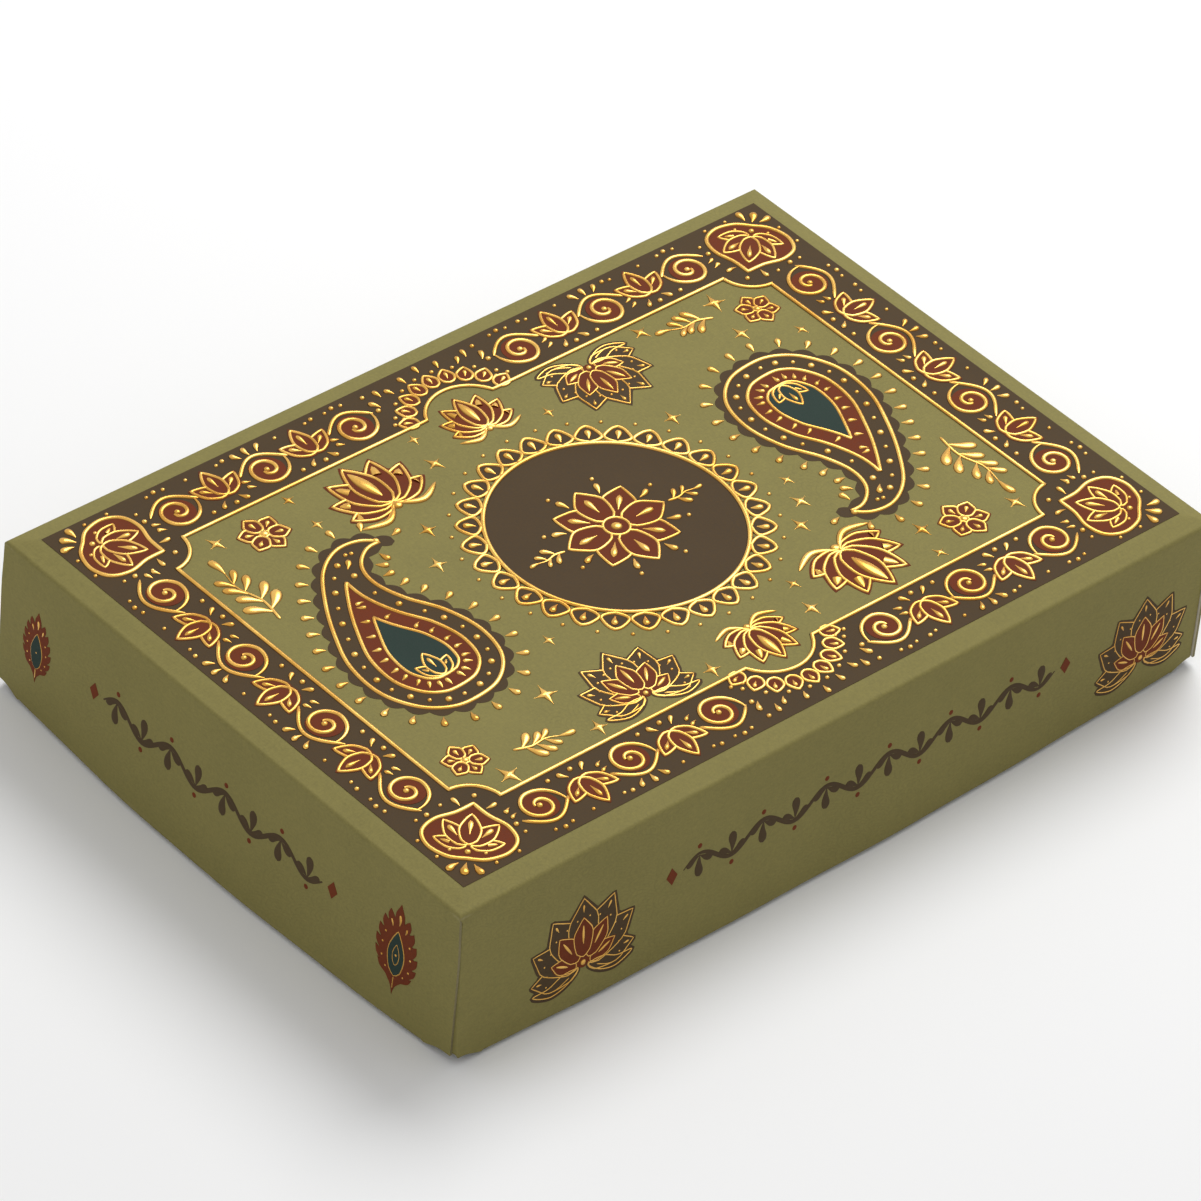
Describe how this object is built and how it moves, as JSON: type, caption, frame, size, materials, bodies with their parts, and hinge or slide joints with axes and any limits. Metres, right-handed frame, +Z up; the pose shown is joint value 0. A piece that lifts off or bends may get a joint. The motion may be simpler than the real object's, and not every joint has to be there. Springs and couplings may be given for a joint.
{
  "type": "sweet box",
  "caption": "Low rectangular gift box for sweets: a telescoping folded-card lid with foiled print over a tray with a slotted divider.",
  "frame": {"origin": "centre of the footprint on the table, at the tray's underside", "axes": "+X along the long side, +Y from the front wall to the back wall, +Z up"},
  "size_m": [0.2628, 0.1838, 0.0487],
  "materials": {
    "printed_card": "matte printed paperboard, sage green",
    "tray_card": "matte printed paperboard, deeper green",
    "lining_card": "matte uncoated paperboard, warm white",
    "divider_card": "matte uncoated paperboard, warm white",
    "gold_card": "satin metallised paperboard",
    "cover_paper": "smooth greaseproof paper card",
    "dark_ink": "matte printing ink, dark warm brown",
    "maroon_ink": "matte printing ink, maroon",
    "gold_foil": "polished hot-stamped foil"
  },
  "bodies": {
    "base": {"base_shell": "tray_card", "base_lining_front": "lining_card", "base_lining_back": "lining_card", "base_lining_left": "lining_card", "base_lining_right": "lining_card", "base_corner_webs": "lining_card", "base_pad": "gold_card"},
    "divider": {"partition_long_front": "divider_card", "partition_long_back": "divider_card", "partition_cross_left": "divider_card", "partition_cross_middle": "divider_card", "partition_cross_right": "divider_card"},
    "cover": {"cover_card": "cover_paper"},
    "lid": {"lid_shell": "printed_card", "lid_lining_front": "lining_card", "lid_lining_back": "lining_card", "lid_lining_left": "lining_card", "lid_lining_right": "lining_card", "lid_corner_webs": "lining_card", "printed_border": "dark_ink", "foil_frame": "gold_foil", "medallion_ground": "dark_ink", "medallion_foil": "gold_foil"}
  },
  "joints": [
    {"name": "divider_lift", "type": "slide", "parent": "base", "child": "divider", "axis": [0, 0, 1], "range_m": [0, 0.055]},
    {"name": "cover_lift", "type": "slide", "parent": "divider", "child": "cover", "axis": [0, 0, 1], "range_m": [0, 0.03]},
    {"name": "lid_lift", "type": "slide", "parent": "cover", "child": "lid", "axis": [0, 0, 1], "range_m": [0, 0.06]}
  ]
}
